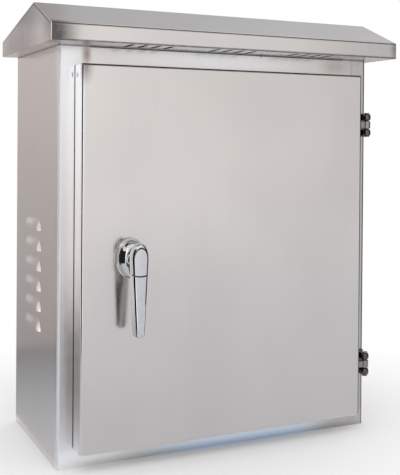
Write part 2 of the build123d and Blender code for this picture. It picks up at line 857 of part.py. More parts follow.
def key_cover():
    """Cap over the key plug, parted from the lever along an arc round its pin."""
    seat = head_face + cover_gap
    cover = lever_bar() & seam_form(cover_seam_radius - cover_gap, seat)
    start = (0, cover_pin_rise, seat - cut_overrun)
    end = (0, cover_pin_rise, seat + cover_pin_depth)
    return lock_plane * (cover - rod(cover_pin_radius + running_clearance, start, end))


def cover_pin():
    """Pin of the key cover, pressed into the lever's head."""
    start = (0, cover_pin_rise, lever_back)
    end = (0, cover_pin_rise, head_face + cover_pin_depth)
    return lock_plane * rod(cover_pin_radius, start, end)


def key_plug():
    """Key cylinder under the cover, with its keyway."""
    plug = rod(plug_radius, (0, 0, plug_back), (0, 0, head_face))
    face = Pos(0, 0, head_face - keyway_depth) * SlotOverall(keyway_height, keyway_width, rotation=90)
    return lock_plane * (plug - extrude(face, amount=keyway_depth))


def lock_spindle():
    """Spindle through the lock, squared where it carries the cam."""
    square_start = -barrel_length - cam_thickness
    spindle = rod(spindle_radius, (0, 0, square_start), (0, 0, spindle_front))
    square = Pos(0, 0, cam_back) * Rectangle(spindle_square, spindle_square)
    spindle += extrude(square, amount=square_start - cam_back)
    hole_end = (0, 0, cam_back + cam_screw_length)
    spindle -= rod(cam_screw_radius + thread_clearance, (0, 0, cam_back - cut_overrun), hole_end)
    return lock_plane * spindle


def lock_cam():
    """Latch arm on the spindle's square; it points up while the handle hangs down."""
    hub = Circle(cam_width / 2)
    tip_place = cam_reach - cam_tip_width / 2
    arm = make_hull((hub + Pos(0, tip_place) * Circle(cam_tip_width / 2)).edges())
    square = spindle_square + press_clearance * 2
    outline = arm - Rectangle(square, square)
    return lock_plane * Pos(0, 0, cam_back) * extrude(outline, amount=cam_thickness)


def cam_washer():
    """Washer between the cam and its screw."""
    outline = Circle(cam_washer_radius) - Circle(cam_screw_radius + bolt_clearance)
    return lock_plane * Pos(0, 0, screw_seat) * extrude(outline, amount=cam_washer_thickness)


def cam_screw():
    """Hexagon screw that holds the cam on the spindle."""
    head = hex_bar(cam_screw_head_radius * 2, (0, 0, screw_seat - cam_screw_head), (0, 0, screw_seat))
    shank_end = (0, 0, cam_back + cam_screw_length)
    return lock_plane * (head + rod(cam_screw_radius, (0, 0, screw_seat), shank_end))


box_terminal = Plane(origin=(-body_half + earth_inset, frame_front + earth_inset, sheet))
door_terminal = Plane(
    origin=(door_right - door_earth_inset, door_inside, door_low + door_earth_inset),
    x_dir=(1, 0, 0),
    z_dir=(0, 1, 0),
)

nodes = {
    "left_side": left_side(),
    "right_side": right_side(),
    "back_panel": back_panel(),
    "top_panel": top_panel(),
    "bottom_panel": bottom_panel(),
    "roof_sheet": roof_sheet(),
    "roof_end_left": roof_end(-1),
    "roof_end_right": roof_end(1),
    "roof_floor": roof_floor(),
    "roof_bolts": Compound(children=roof_bolts()),
    "roof_nuts": Compound(children=roof_nuts()),
    "gland_plate": gland_plate(),
    "gland_gasket": gland_gasket(),
    "gland_screws": Compound(children=gland_screws()),
    "mounting_plate": mounting_plate(),
    "mounting_studs": Compound(children=mounting_studs()),
    "mounting_nuts": Compound(children=mounting_nuts()),
    "earth_stud": terminal(box_terminal),
    "earth_nut": terminal_nut(box_terminal),
    "hinge_frame_nuts": Compound(children=hinge_frame_nuts()),
    "door_panel": door_panel(),
    "door_gasket": door_gasket(),
    "hinge_door_screws": Compound(children=hinge_door_screws()),
    "hinge_door_nuts": Compound(children=hinge_door_nuts()),
    "door_earth_stud": terminal(door_terminal),
    "door_earth_nut": terminal_nut(door_terminal),
    "lock_seal": lock_seal(),
    "lock_base": lock_base(),
    "lock_nut": lock_nut(),
    "handle_lever": handle_lever(),
    "cover_pin": cover_pin(),
    "lock_spindle": lock_spindle(),
    "lock_cam": lock_cam(),
    "cam_washer": cam_washer(),
    "cam_screw": cam_screw(),
    "key_cover": key_cover(),
    "key_plug": key_plug(),
}
for name, place in zip(("left", "middle", "right"), pattern(grommet_count, grommet_pitch)):
    nodes[f"cable_grommet_{name}"] = cable_grommet(place)
for level in hinge_heights:
    nodes[f"hinge_frame_half_{level}"] = hinge_frame_half(level)
    nodes[f"hinge_door_half_{level}"] = hinge_door_half(level)
    nodes[f"hinge_pin_{level}"] = hinge_pin(level)

os.makedirs("parts", exist_ok=True)
for name, shape in nodes.items():
    export_step(shape, f"parts/{name}.step")
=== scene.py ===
# %% [markdown]
# # A stainless outdoor cabinet
# The cabinet is a welded box of thin stainless sheet with a gabled rain hood, an overlay door on
# two pin hinges and a chromed swing handle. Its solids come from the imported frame, in metres, with
# the box standing on Z = 0 and its front facing -Y. This lesson adds what the solids leave out:
# the finishes, the rubber, the threads, the screw heads and the studio.

# %% Load the frame
import json
from math import cos, pi, radians, sin

import bmesh
import bpy
from mathutils import Matrix, Vector


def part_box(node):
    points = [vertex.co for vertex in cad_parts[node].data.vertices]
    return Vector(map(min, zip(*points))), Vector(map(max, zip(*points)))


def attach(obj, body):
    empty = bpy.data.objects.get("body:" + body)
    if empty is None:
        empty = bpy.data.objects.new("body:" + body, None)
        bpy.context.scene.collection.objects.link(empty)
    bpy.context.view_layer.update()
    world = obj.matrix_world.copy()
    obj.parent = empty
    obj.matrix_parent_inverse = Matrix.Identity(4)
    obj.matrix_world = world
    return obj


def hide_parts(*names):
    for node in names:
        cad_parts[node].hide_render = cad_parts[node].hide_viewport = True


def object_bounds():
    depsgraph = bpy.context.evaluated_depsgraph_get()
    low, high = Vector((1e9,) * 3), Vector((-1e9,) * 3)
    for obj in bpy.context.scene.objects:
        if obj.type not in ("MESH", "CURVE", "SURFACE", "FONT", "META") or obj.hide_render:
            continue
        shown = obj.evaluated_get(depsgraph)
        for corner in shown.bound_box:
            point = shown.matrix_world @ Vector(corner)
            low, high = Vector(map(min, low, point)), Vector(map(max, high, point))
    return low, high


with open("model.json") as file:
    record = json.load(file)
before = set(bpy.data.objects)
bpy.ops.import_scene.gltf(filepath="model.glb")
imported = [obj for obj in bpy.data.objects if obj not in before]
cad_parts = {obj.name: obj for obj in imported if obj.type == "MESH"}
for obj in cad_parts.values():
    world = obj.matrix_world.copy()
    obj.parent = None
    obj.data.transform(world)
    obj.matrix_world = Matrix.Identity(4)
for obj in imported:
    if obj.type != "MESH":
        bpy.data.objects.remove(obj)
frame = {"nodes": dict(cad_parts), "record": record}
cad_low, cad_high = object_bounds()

nodes = frame["nodes"]
slot_of_node = {row["node"]: row["material_slot"] for row in frame["record"]["subparts"]}
print("cabinet size", [round(high - low, 4) for low, high in zip(cad_low, cad_high)])

# %% [markdown]
# ## Camera
# The photograph is a product picture with upright edges kept parallel, as a shift lens does. The
# view looks level from the cabinet's left, at about 27 degrees from straight ahead. A tilted
# camera would lean the door's edges together, so the lens is shifted instead.

# %% Camera
PHOTO_WIDTH, PHOTO_HEIGHT = 400, 475
SENSOR = 36.0
FOCAL_PIXELS = 921.2
CENTRE_PIXEL = (250.4, 148.1)
CAMERA_PLACE = Vector((-0.4668, -1.0951, 0.3648))
YAW, PITCH, ROLL = radians(26.78), radians(-0.49), radians(0.44)

long_side = max(PHOTO_WIDTH, PHOTO_HEIGHT)
lens = bpy.data.cameras.new("camera")
lens.sensor_width = SENSOR
lens.lens = FOCAL_PIXELS * SENSOR / long_side
lens.shift_x = (PHOTO_WIDTH / 2 - CENTRE_PIXEL[0]) / long_side
lens.shift_y = (CENTRE_PIXEL[1] - PHOTO_HEIGHT / 2) / long_side
ahead = Vector((sin(YAW) * cos(PITCH), cos(YAW) * cos(PITCH), sin(PITCH)))
level = Vector((cos(YAW), -sin(YAW), 0))
above = level.cross(ahead)
right = level * cos(ROLL) + above * sin(ROLL)
up = above * cos(ROLL) - level * sin(ROLL)
camera = bpy.data.objects.new("camera", lens)
camera.matrix_world = Matrix.LocRotScale(
    CAMERA_PLACE, Matrix((right, up, -ahead)).transposed().to_quaternion(), None
)
bpy.context.scene.collection.objects.link(camera)
bpy.context.scene.camera = camera
bpy.context.scene.view_settings.view_transform = "Standard"
print("lens", round(lens.lens, 2), "mm, shift", round(lens.shift_x, 3), round(lens.shift_y, 3))

# %% [markdown]
# ## Writing shaders as sums
# A finish is mostly arithmetic on a few masks. A Wire is one socket of a node tree, and sums and
# products of wires add Math nodes by themselves. Every other node comes from Finish.add, which
# sets the node's own settings first and then fills or links its sockets.


# %% Wires and finishes
class Wire:
    """One output of a node tree, used in sums like a number."""

    def __init__(self, finish, socket):
        self.finish = finish
        self.socket = socket

    def math(self, operation, first, second):
        return self.finish.add("ShaderNodeMath", {"operation": operation}, {0: first, 1: second})

    def __add__(self, other):
        return self.math("ADD", self, other)

    def __radd__(self, other):
        return self.math("ADD", other, self)

    def __sub__(self, other):
        return self.math("SUBTRACT", self, other)

    def __rsub__(self, other):
        return self.math("SUBTRACT", other, self)

    def __mul__(self, other):
        return self.math("MULTIPLY", self, other)

    def __rmul__(self, other):
        return self.math("MULTIPLY", other, self)

    def __truediv__(self, other):
        return self.math("DIVIDE", self, other)

    def __rtruediv__(self, other):
        return self.math("DIVIDE", other, self)

    def __pow__(self, other):
        return self.math("POWER", self, other)

    def __abs__(self):
        return self.math("ABSOLUTE", self, 0.0)

    def at_least(self, other):
        return self.math("MAXIMUM", self, other)

    def at_most(self, other):
        return self.math("MINIMUM", self, other)


class Finish:
    """A node tree, and the one method that adds a node to it."""

    def __init__(self, tree):
        self.tree = tree
        tree.nodes.clear()

    def add(self, kind, settings=None, inputs=None, output=0):
        node = self.tree.nodes.new(kind)
        for name, value in (settings or {}).items():
            setattr(node, name, value)
        for key, value in (inputs or {}).items():
            if isinstance(value, Wire):
                self.tree.links.new(value.socket, node.inputs[key])
            else:
                node.inputs[key].default_value = value
        return Wire(self, node.outputs[output]) if node.outputs else node

    def place(self):
        """Where a point lies on the cabinet at rest, in metres."""
        return self.add("ShaderNodeTexCoord", output="Object")

    def along(self, place, axis):
        """One coordinate of a place."""
        return self.add("ShaderNodeSeparateXYZ", {}, {"Vector": place}, axis)

    def vector(self, operation, first, second=(0, 0, 0), output=0):
        return self.add("ShaderNodeVectorMath", {"operation": operation}, {0: first, 1: second}, output)

    def noise(self, place, scale, detail=2.0):
        """Cloudy value round a half; scale counts per metre along X, Y and Z."""
        stretched = self.vector("MULTIPLY", place, scale)
        inputs = {"Vector": stretched, "Scale": 1.0, "Detail": detail}
        return self.add("ShaderNodeTexNoise", {}, inputs)

    def fade(self, value, start, end):
        """Smooth step from 0 where value is start to 1 where it is end."""
        inputs = {"Value": value, "From Min": start, "From Max": end}
        return self.add("ShaderNodeMapRange", {"interpolation_type": "SMOOTHSTEP"}, inputs)

    def mix(self, share, first, second):
        """Colour between two colours."""
        return self.add("ShaderNodeMix", {"data_type": "RGBA"}, {0: share, 6: first, 7: second}, 2)

    def spot(self, place, middle, reach):
        """Soft mark round a point, 1 in its middle; reach is its half size along X, Y and Z."""
        offset = self.vector("DIVIDE", self.vector("SUBTRACT", place, middle), reach)
        return self.fade(self.vector("LENGTH", offset, output="Value"), 1.0, 0.0)

    def seam(self, place, point, across, half_width):
        """Soft line through a point, 1 in its middle; across is the direction square to it."""
        offset = self.vector("SUBTRACT", place, point)
        distance = self.vector("DOT_PRODUCT", offset, Vector(across).normalized(), "Value")
        return self.fade(abs(distance), half_width, 0.0)

    def bump(self, height, strength, distance):
        inputs = {"Strength": strength, "Distance": distance, "Height": height}
        return self.add("ShaderNodeBump", {}, inputs)

    def shade(self, inputs):
        """Surface shader of the finish."""
        surface = self.add("ShaderNodeBsdfPrincipled", {}, inputs)
        self.add("ShaderNodeOutputMaterial", {}, {"Surface": surface})


def new_material(name):
    """Empty material with its finish."""
    material = bpy.data.materials.new(name)
    material.use_nodes = True
    return material, Finish(material.node_tree)


print("wires ready")

# %% [markdown]
# ## Satin stainless sheet
# The sheets are bare stainless with a fine satin grain. A photograph of such a sheet shows hardly any
# colour of its own: it shows the studio, blurred. So the finish is a metal with a slightly warm grey, a
# grain of long thin streaks in the roughness and a faint cloudiness from handling. The grain runs upright
# on the box's sides and the door, and lengthwise on the hood, the back and the inner plates. Weld heat
# has left brown and dark patches at the corners of the frame and at the hood's ends, and thin dark lines
# along the seams. Painted highlights and painted shade lie over them: pale marks on the frame, the door's
# left flange, the soffit and the louvres, and grey and black ones in the gaps round the door, under the
# hood and in the soffit's slots. They are spots and lines in the sheets' own places, broken up by a
# noise.


# %% Satin stainless
STEEL_LIGHT = (0.70, 0.664, 0.642, 1)
STEEL_DARK = (0.655, 0.62, 0.60, 1)
# Black, for painted shade in the soffit's slots, the lever's painted reflection lines, its painted shaded
# back and its split line.
BLACK_SHADE_AND_LINES = (0.012, 0.011, 0.011, 1)
# Dark, for weld marks and seams, and for painted shade in the gaps round the door and under the hood.
DARK_WELD_AND_SHADE = (0.11, 0.10, 0.10, 1)
BROWN = (0.30, 0.24, 0.225, 1)
# Grey, for painted shade.
SHADOWED = (0.37, 0.35, 0.345, 1)
# Pale, for painted highlights.
PAINTED_HIGHLIGHT = (0.90, 0.91, 0.94, 1)
# Pale blue, for a painted reflection along the frame's bottom strip.
PAINTED_BLUE_REFLECTION = (0.70, 0.83, 1.0, 1)
GRAIN_ACROSS = 900.0
GRAIN_ALONG = 9.0
CLOUD_SCALE = (9, 9, 6)
SMEAR_SCALE = (120, 120, 60)
GROUND_ROUGHNESS = 0.5


def satin_steel(name, grain, rough, spots=(), seams=(), ground=()):
    """Satin sheet with its grain along X or Z, weld marks, painted highlights and painted shade, and
    ground folds.
    """
    material, finish = new_material(name)
    place = finish.place()
    scale = [GRAIN_ALONG if axis == grain else GRAIN_ACROSS for axis in "XYZ"]
    streaks = finish.noise(place, scale, 3.0)
    clouds = finish.noise(place, CLOUD_SCALE, 2.0)
    smears = finish.noise(place, SMEAR_SCALE, 3.0)
    tone = finish.fade(clouds * 0.8 + streaks * 0.2, 0.3, 0.7)
    colour = finish.mix(tone, STEEL_DARK, STEEL_LIGHT)
    for tint, middle, reach, strength in spots:
        share = finish.spot(place, middle, reach) * (smears * 0.6 + streaks * 0.8 + 0.3) * strength
        colour = finish.mix(share, colour, tint)
    for tint, point, across, half_width, strength in seams:
        share = finish.seam(place, point, across, half_width) * (smears * 0.6 + 0.7) * strength
        colour = finish.mix(share, colour, tint)
    roughness = streaks * 0.06 + smears * 0.05 + rough
    for point, across, half_width in ground:
        roughness = roughness + finish.seam(place, point, across, half_width) * GROUND_ROUGHNESS
    bump = finish.bump(streaks, 0.03, 0.0004)
    finish.shade({"Base Color": colour, "Metallic": 1.0, "Roughness": roughness, "Normal": bump})
    return material


print("satin steel ready")

# %% [markdown]
# ## Marks of heat, painted highlights and painted shade
# A spot is a tint, its middle, its half size along X, Y and Z, and its strength. A line is a tint, a
# point on it, the direction square to it, its half width and its strength. A line is really a thin slab
# through the whole cabinet. On the upright folds the slab touches the fold from outside, so it colours
# little else. The pale marks are painted highlights, the grey ones and the dark ones in gaps, slots and
# under the hood are painted shade, and the brown ones are weld tint. The box's front left fold is rougher
# than the sheets and carries a painted highlight. The crests of the left louvres carry painted highlights
# too.

# %% Marks on the sheets
BOX_SIDE, BOX_MIDDLE = 0.2, 0.234
FRAME_FRONT, BOX_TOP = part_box("top_panel")[0].y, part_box("top_panel")[1].z
door_low, door_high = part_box("door_panel")
DOOR_FRONT = door_low.y
HOOD_FRONT, HOOD_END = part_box("roof_sheet")[0].y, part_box("roof_sheet")[1].x
EAVES, RIDGE, RIDGE_Y = 0.4875, 0.5175, -0.065
FOLD_INSET, HOOD_FOLD_INSET, EAVES_INSET, GABLE_INSET = 0.0007, 0.0004, 0.0005, 0.0018
LOUVRES, LOUVRE_PITCH = 6, 0.0236
LOWEST_CREST, CREST_REACH = Vector((-0.2025, 0.022, 0.1471)), (0.01, 0.034, 0.006)
SLOT_GROUPS, SLOT_PITCH, SLOT_Y = (-0.104, 0, 0.104), 0.0155, -0.123

box_spots = [
    # painted shade on the frame's left strip beside the door's flange
    (SHADOWED, (-0.186, FRAME_FRONT, 0.125), (0.022, 0.02, 0.12), 1.0),
    # painted highlights on the frame's left strip, at its top and foot, and along the top strip
    (PAINTED_HIGHLIGHT, (-0.192, FRAME_FRONT, 0.46), (0.03, 0.02, 0.20), 0.6),
    (PAINTED_HIGHLIGHT, (-0.192, FRAME_FRONT, 0.0), (0.03, 0.02, 0.07), 0.5),
    (PAINTED_HIGHLIGHT, (0.0, FRAME_FRONT, 0.457), (0.16, 0.02, 0.02), 0.5),
    (DARK_WELD_AND_SHADE, (-0.1848, FRAME_FRONT, 0.4355), (0.0012, 0.002, 0.0045), 1.0),
    (BROWN, (-0.169, FRAME_FRONT, 0.459), (0.008, 0.01, 0.019), 1.0),
    (BROWN, (0.156, FRAME_FRONT, 0.458), (0.032, 0.01, 0.016), 0.45),
    (BROWN, (0.049, FRAME_FRONT, 0.4673), (0.003, 0.003, 0.003), 1.0),
    # a painted highlight at the left of the bottom strip, and a painted bluish reflection along it
    (PAINTED_HIGHLIGHT, (-0.17, FRAME_FRONT, 0.006), (0.09, 0.012, 0.04), 0.9),
    (PAINTED_BLUE_REFLECTION, (0.03, FRAME_FRONT, 0.006), (0.19, 0.012, 0.026), 1.3),
    # painted shade in the gap beside the door's right edge, a dark line along the box's right fold, and
    # painted shade low and along the right strip
    (DARK_WELD_AND_SHADE, (0.1795, FRAME_FRONT, BOX_MIDDLE), (0.004, 0.02, 0.30), 1.2),
    (DARK_WELD_AND_SHADE, (0.1992, FRAME_FRONT, BOX_MIDDLE), (0.0035, 0.004, 0.90), 1.6),
    (SHADOWED, (0.165, FRAME_FRONT, 0.006), (0.06, 0.012, 0.03), 0.6),
    (SHADOWED, (0.19, FRAME_FRONT, BOX_MIDDLE), (0.03, 0.02, 0.9), 0.5),
]
# painted highlights on the crests of the left louvres
for row in range(LOUVRES):
    crest = LOWEST_CREST + Vector((0, 0, row * LOUVRE_PITCH))
    box_spots.append((PAINTED_HIGHLIGHT, crest, CREST_REACH, 1.2))
left_fold = ((FOLD_INSET - BOX_SIDE, FRAME_FRONT + FOLD_INSET, 0), (0.7, 0.7, 0), 0.0013)
box_seams = (
    # a painted highlight along the left fold, painted shade along the box's top edge under the hood, and
    # a dark line along the right fold
    (PAINTED_HIGHLIGHT, *left_fold, 1.2),
    (DARK_WELD_AND_SHADE, (0, 0, BOX_TOP - FOLD_INSET), (0, 0, 1), 0.0015, 0.8),
    (DARK_WELD_AND_SHADE, (BOX_SIDE - FOLD_INSET, FRAME_FRONT + FOLD_INSET, 0), (0.7, -0.7, 0), 0.0009, 0.9),
)

hood_spots = (
    # painted shade over both ends of the fascia, with dark weld marks at its ends
    (SHADOWED, (-HOOD_END, HOOD_FRONT, 0.478), (0.065, 0.012, 0.08), 0.3),
    (DARK_WELD_AND_SHADE, (-HOOD_END, HOOD_FRONT, 0.478), (0.038, 0.012, 0.08), 1.1),
    (SHADOWED, (HOOD_END, HOOD_FRONT, 0.478), (0.14, 0.012, 0.06), 0.35),
    (DARK_WELD_AND_SHADE, (HOOD_END, HOOD_FRONT, 0.480), (0.012, 0.012, 0.02), 0.7),
)
hood_seams = (
    # dark lines along the fascia's lower and upper folds, and painted highlights along the hood's ends
    (DARK_WELD_AND_SHADE, (0, HOOD_FRONT + HOOD_FOLD_INSET, BOX_TOP + HOOD_FOLD_INSET), (0, 0.7, 0.7), 0.0014, 0.9),
    (DARK_WELD_AND_SHADE, (0, HOOD_FRONT, EAVES - EAVES_INSET), (0, 0.6, 0.8), 0.0015, 1.0),
    (PAINTED_HIGHLIGHT, (-HOOD_END, 0, 0), (1, 0, 0), 0.0012, 0.9),
    (PAINTED_HIGHLIGHT, (HOOD_END, 0, 0), (1, 0, 0), 0.0012, 0.9),
)
gable_spots = (
    # a painted highlight at the front of the left gable, painted shade low on it, and brown weld tint at
    # both gables' fronts
    (PAINTED_HIGHLIGHT, (-HOOD_END, -0.09, 0.495), (0.01, 0.05, 0.03), 0.7),
    (SHADOWED, (-HOOD_END, 0.01, 0.468), (0.01, 0.15, 0.06), 1.2),
    (BROWN, (-HOOD_END, HOOD_FRONT, 0.476), (0.01, 0.05, 0.03), 0.5),
    (BROWN, (HOOD_END, HOOD_FRONT, 0.476), (0.01, 0.05, 0.03), 0.5),
)
front_slope = (0, RIDGE - EAVES, HOOD_FRONT - RIDGE_Y)
rear_slope = (0, RIDGE - EAVES, cad_high.y - RIDGE_Y)
gable_seams = (
    (DARK_WELD_AND_SHADE, (0, HOOD_FRONT, EAVES - GABLE_INSET), front_slope, 0.0021, 1.0),
    (DARK_WELD_AND_SHADE, (0, cad_high.y, EAVES - GABLE_INSET), rear_slope, 0.0016, 0.8),
    (DARK_WELD_AND_SHADE, (0, HOOD_FRONT + GABLE_INSET, 0), (0, 1, 0), 0.0018, 0.8),
)
slot_places = [group + step * SLOT_PITCH for group in SLOT_GROUPS for step in (-1.5, -0.5, 0.5, 1.5)]
soffit_spots = [
    # a painted highlight over the soffit, and painted shade at its left end
    (PAINTED_HIGHLIGHT, (0, -0.12, BOX_TOP), (0.4, 0.1, 0.02), 0.8),
    (SHADOWED, (-0.2, HOOD_FRONT, BOX_TOP), (0.06, 0.06, 0.02), 1.2),
]
# painted shade in the soffit's slots, as black dashes
soffit_spots += [(BLACK_SHADE_AND_LINES, (x, SLOT_Y, BOX_TOP), (0.0036, 0.019, 0.004), 9.0) for x in slot_places]

door_spots = (
    # painted highlights along the door's left flange, brown weld tint at its top left and painted shade
    # at its lower right corner
    (PAINTED_HIGHLIGHT, (-0.1825, -0.112, 0.42), (0.006, 0.030, 0.34), 1.4),
    (PAINTED_HIGHLIGHT, (-0.1825, -0.112, 0.02), (0.006, 0.030, 0.07), 0.8),
    (BROWN, (-0.180, DOOR_FRONT, 0.4440), (0.014, 0.01, 0.026), 0.9),
    (DARK_WELD_AND_SHADE, (door_high.x, DOOR_FRONT, door_low.z), (0.005, 0.01, 0.004), 0.8),
)
door_seams = (
    # painted shade along the gaps at the door's right and top edges
    (DARK_WELD_AND_SHADE, (door_high.x - FOLD_INSET, DOOR_FRONT + FOLD_INSET, 0), (0.7, -0.7, 0), 0.0011, 1.2),
    (DARK_WELD_AND_SHADE, (0, DOOR_FRONT + FOLD_INSET, door_high.z - FOLD_INSET), (0, 0.7, -0.7), 0.0011, 1.2),
)
print("marks", len(box_spots), "on the box,", len(soffit_spots), "on the soffit")

# %% Steel of each sheet
box_steel = satin_steel("box_steel", "Z", 0.16, box_spots, box_seams, [left_fold])
hood_steel = satin_steel("hood_steel", "X", 0.16, hood_spots, hood_seams)
gable_steel = satin_steel("gable_steel", "X", 0.18, gable_spots, gable_seams)
soffit_steel = satin_steel("soffit_steel", "X", 0.22, soffit_spots)
door_steel = satin_steel("door_steel", "Z", 0.11, door_spots, door_seams)
inner_steel = satin_steel("inner_steel", "X", 0.24)
print("steel finishes", box_steel.name, hood_steel.name, gable_steel.name, door_steel.name)

# %% [markdown]
# ## Small metals and rubber
# The lock is chromed, so it is a nearly perfect mirror with faint casting ripple. Its lever carries a
# dark split line round the key cover, painted dark reflection lines along the edges of its face and
# painted shade on its back, streaked by a noise. The hinges' frame halves are dark and polished, their
# door halves and pins satin.
# Screws and nuts are zinc plated, with a spangle of pale and darker crystals. The earth terminals and
# the key plug are brass. Seals and grommets are black rubber.


# %% Chrome, hinges, zinc, brass and rubber
COVER_PIN, COVER_SEAM = sum(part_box("cover_pin"), Vector()) / 2, 0.0248
LEVER_BACK, LEVER_FACE = -0.1545, -0.1585
HEAD_CENTRE, HEAD_RISE, HALF_WIDTH, TAPER = 0.23625, 0.0145, 0.0094, 0.0507
EDGE_LINE_SHARE = 0.83
RIB_SCALE = (300, 1, 14)
WAVE_SCALE = (70, 70, 70)
BLOOM_SCALE = (40, 40, 40)


def lever_lines_and_shade(finish, place):
    """Share of dark on the lever: its cover's split line, painted reflection lines along its face's edges
    and painted shade on its streaked back.
    """
    offset = finish.vector("MULTIPLY", finish.vector("SUBTRACT", place, COVER_PIN), (1, 0, 1))
    distance = finish.vector("LENGTH", offset, output="Value") - COVER_SEAM
    split = finish.fade(abs(distance), 0.0011, 0.0004)
    height = finish.along(place, "Z") - HEAD_CENTRE
    above = height.at_least(0.0) / HEAD_RISE
    beside = (finish.along(place, "X") - COVER_PIN.x) / (height.at_most(0.0) * TAPER + HALF_WIDTH)
    outline = (beside * beside + above * above) ** 0.5
    # Painted dark reflection lines along the edges of the face.
    edge = finish.fade(abs(outline - EDGE_LINE_SHARE), 0.10, 0.04) * 0.9
    depth = finish.along(place, "Y")
    face = finish.fade(depth, LEVER_FACE, LEVER_FACE - 0.001)
    # Painted shade on the lever's back, streaked by a noise.
    ribs = finish.fade(finish.noise(place, RIB_SCALE, 2.0), 0.62, 0.42)
    shaded_back = finish.fade(depth, LEVER_BACK - 0.001, LEVER_BACK - 0.0002) * ribs
    return (split + edge) * face + shaded_back


def plated_metal(name, light, dark, speckle, rough, ripple, marks=None):
    """Plated piece in two tones; marks is a rule for the share of dark on it."""
    material, finish = new_material(name)
    place = finish.place()
    crystals = finish.noise(place, (speckle, speckle, speckle), 2.0)
    tone = finish.fade(crystals, 0.35, 0.65)
    colour = finish.mix(tone, dark, light)
    if marks:
        colour = finish.mix(marks(finish, place), colour, BLACK_SHADE_AND_LINES)
    wave = finish.noise(place, WAVE_SCALE, 1.0)
    roughness = tone * (rough * 0.5) + rough * 0.75
    bump = finish.bump(wave, ripple, 0.0006)
    finish.shade({"Base Color": colour, "Metallic": 1.0, "Roughness": roughness, "Normal": bump})
    return material


def black_rubber(name, pores, depth):
    """Matt rubber with a dusty bloom; pores counts the grain per metre."""
    material, finish = new_material(name)
    place = finish.place()
    grit = finish.noise(place, (pores, pores, pores), 2.0)
    bloom = finish.fade(finish.noise(place, BLOOM_SCALE, 3.0), 0.4, 0.75)
    colour = finish.mix(bloom, (0.016, 0.016, 0.017, 1), (0.036, 0.036, 0.038, 1))
    rough = bloom * 0.15 + 0.6
    finish.shade({"Base Color": colour, "Roughness": rough, "Normal": finish.bump(grit, depth, 0.0003)})
    return material


plated_rows = {
    "zinc_plate": ("zinc", (0.62, 0.64, 0.67, 1), (0.50, 0.52, 0.55, 1), 700, 0.34, 0.05),
    "brass": ("brass", (0.74, 0.56, 0.26, 1), (0.64, 0.47, 0.20, 1), 400, 0.28, 0.05),
    "lock_chrome": ("chrome", (0.66, 0.66, 0.67, 1), (0.63, 0.63, 0.64, 1), 300, 0.04, 0.006),
    "hinge_dark_chrome": ("bead", (0.15, 0.145, 0.145, 1), (0.10, 0.095, 0.095, 1), 400, 0.08, 0.01),
    "hinge_satin": ("knuckle", (0.36, 0.33, 0.33, 1), (0.28, 0.26, 0.26, 1), 900, 0.32, 0.05),
}
finishes = {slot: plated_metal(*row) for slot, row in plated_rows.items()}
finishes["satin_stainless"] = box_steel
finishes["black_rubber"] = black_rubber("rubber", 1500, 0.2)
seal_rubber = black_rubber("seal_rubber", 2600, 0.6)
lever_tones = (0.68, 0.68, 0.69, 1), (0.65, 0.65, 0.66, 1)
lever_chrome = plated_metal("lever_chrome", *lever_tones, 300, 0.04, 0.006, lever_lines_and_shade)
finish_of_node = {
    "handle_lever": lever_chrome,
    "key_cover": lever_chrome,
    "roof_sheet": hood_steel,
    "roof_floor": soffit_steel,
    "roof_end_left": gable_steel,
    "roof_end_right": gable_steel,
    "door_panel": door_steel,
    "back_panel": inner_steel,
    "mounting_plate": inner_steel,
    "gland_plate": inner_steel,
}
for name, node in nodes.items():
    node.data.materials.clear()
    node.data.materials.append(finish_of_node.get(name, finishes[slot_of_node[name]]))
print("finished nodes", len(nodes))

# %% [markdown]
# ## Building small pieces from rings
# Turned and moulded pieces are rings of points with a skin between them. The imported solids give
# each piece its place: the box of every nut or stud says where its axis lies, and the wider side of
# a nut's box says which way its corners point. So a piece keeps the place of the solid that it
# stands for, and adds the chamfers, threads, sockets and rounded lips that the solid leaves out.


# %% Rings, skins and pieces
MM = 0.001
TURN = 48
WELD_DISTANCE = 1e-6
SHARP_ANGLE = radians(35)


def solids_of(name):
    """Box of every separate solid of a node, as its lowest and highest corner."""
    form = bmesh.new()
    form.from_mesh(nodes[name].data)
    bmesh.ops.remove_doubles(form, verts=form.verts, dist=WELD_DISTANCE)
    waiting, boxes = set(form.verts), []
    while waiting:
        reached, island = [waiting.pop()], []
        while reached:
            vert = reached.pop()
            island.append(vert.co.copy())
            near = {edge.other_vert(vert) for edge in vert.link_edges} & waiting
            waiting -= near
            reached.extend(near)
        rows = list(zip(*island))
        boxes.append((Vector(map(min, rows)), Vector(map(max, rows))))
    form.free()
    return boxes


def skin(form, loops, closed):
    """Quads between loops of equal count; an open skin gets a cap at each end."""
    rings = [[form.verts.new(point) for point in loop] for loop in loops]
    for near, far in zip(rings, rings[1:] + rings[:1] if closed else rings[1:]):
        for index, point in enumerate(near):
            after = (index + 1) % len(near)
            form.faces.new((point, near[after], far[after], far[index]))
    if not closed:
        form.faces.new(rings[0])
        form.faces.new(rings[-1])


def rings_on(box, axis, flip, profile):
    """Rings round a box's axis; a profile row is a radius, or a rule for it, and a height."""
    low, high = box
    size = high - low
    across = sorted((k for k in range(3) if k != axis), key=lambda k: -size[k])
    loops = []
    for radius, height in profile:
        loop = []
        for step in range(TURN):
            angle = 2 * pi * step / TURN
            reach = radius(angle) if callable(radius) else radius
            place = (low + high) / 2
            place[across[0]] += reach * cos(angle)
            place[across[1]] += reach * sin(angle)
            place[axis] = high[axis] - height if flip else low[axis] + height
            loop.append(place)
        loops.append(loop)
    return loops


